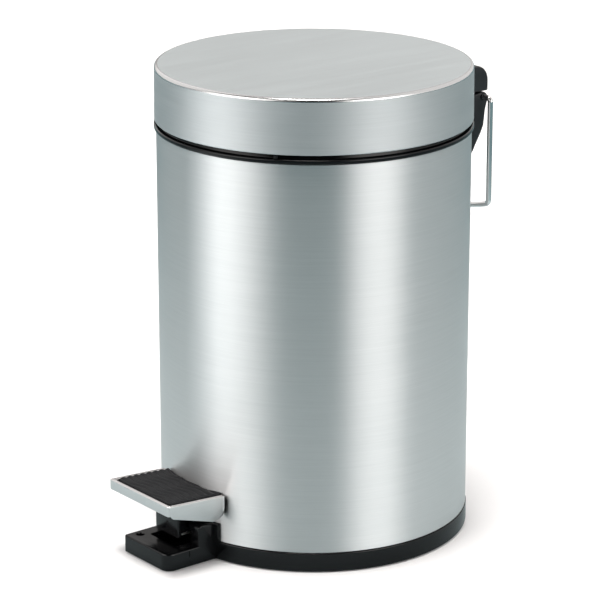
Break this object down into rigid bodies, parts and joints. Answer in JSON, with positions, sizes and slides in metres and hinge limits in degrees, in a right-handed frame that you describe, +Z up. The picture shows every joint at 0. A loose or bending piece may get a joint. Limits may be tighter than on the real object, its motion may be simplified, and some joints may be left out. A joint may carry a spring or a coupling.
{
  "type": "pedal trash can",
  "caption": "Small round step-on bin: steel body, flat hinged lid worked by a foot pedal, rear hinge with wire carry handle, lift-out bucket inside.",
  "frame": {"origin": "on the floor, under the middle of the bounding box", "axes": "+Z up along the body, the pedal points to -Y, the hinge and the carry handle are at +Y, +X is to the right of somebody who stands at the pedal"},
  "size_m": [0.1702, 0.2224, 0.2563],
  "materials": {
    "brushed_steel": "brushed round the body, satin",
    "chromed_steel": "bright chromed wire",
    "black_plastic": "moulded, semi-gloss black",
    "satin_black_plastic": "moulded, fine satin grain",
    "black_rubber": "matt moulded rubber",
    "bucket_plastic": "satin dark grey polypropylene",
    "zinc_steel": "bright zinc plated"
  },
  "bodies": {
    "body": {"base_moulding": "black_plastic", "base_floor": "black_plastic", "rubber_foot_front_left": "black_rubber", "rubber_foot_front_right": "black_rubber", "rubber_foot_rear_left": "black_rubber", "rubber_foot_rear_right": "black_rubber", "body_shell": "brushed_steel", "top_rim_ring": "black_plastic", "lid_bumper_left": "black_rubber", "lid_bumper_right": "black_rubber", "hinge_bracket": "satin_black_plastic", "bracket_screw_left": "zinc_steel", "bracket_screw_right": "zinc_steel", "lid_hinge_pin": "zinc_steel", "lever_pivot_pin": "zinc_steel", "lever_pin_clip": "zinc_steel"},
    "lid": {"lid_shell": "brushed_steel", "lid_hinge_block": "satin_black_plastic", "lid_screw_left": "zinc_steel", "lid_screw_right": "zinc_steel"},
    "pedal": {"pedal_cover": "brushed_steel", "pedal_tread": "black_rubber", "pedal_carrier": "black_plastic", "lever_bar": "zinc_steel", "lever_screw_front": "zinc_steel", "lever_screw_rear": "zinc_steel"},
    "push_rod": {"push_rod": "zinc_steel", "rod_clip_lower": "zinc_steel", "rod_clip_upper": "zinc_steel"},
    "carry_handle": {"carry_handle": "chromed_steel"},
    "bucket": {"inner_bucket": "bucket_plastic"},
    "bucket_bail": {"bucket_bail": "chromed_steel"}
  },
  "joints": [
    {"name": "lid_hinge", "type": "hinge", "parent": "body", "child": "lid", "pos_m": [0, 0.1074, 0.2253], "axis": [-1, 0, 0], "range_deg": [0, 75]},
    {"name": "pedal_hinge", "type": "hinge", "parent": "body", "child": "pedal", "pos_m": [0, -0.0012, 0.0082], "axis": [1, 0, 0], "range_deg": [0, 7]},
    {"name": "rod_slide", "type": "slide", "parent": "body", "child": "push_rod", "axis": [0, 0, 1], "range_m": [0, 0.0103]},
    {"name": "handle_swing", "type": "hinge", "parent": "body", "child": "carry_handle", "pos_m": [0, 0.1074, 0.2265], "axis": [1, 0, 0], "range_deg": [0, 120]},
    {"name": "bucket_lift", "type": "slide", "parent": "body", "child": "bucket", "axis": [0, 0, 1], "range_m": [0, 0.022]},
    {"name": "bail_swing", "type": "hinge", "parent": "bucket", "child": "bucket_bail", "pos_m": [0, 0.0068, 0.203], "axis": [-1, 0, 0], "range_deg": [0, 17]}
  ],
  "couplings": [
    {"joint": "pedal_hinge", "follows": "lid_hinge", "ratio": 0.0933},
    {"joint": "rod_slide", "follows": "lid_hinge", "m_per_rad": 0.00786}
  ]
}
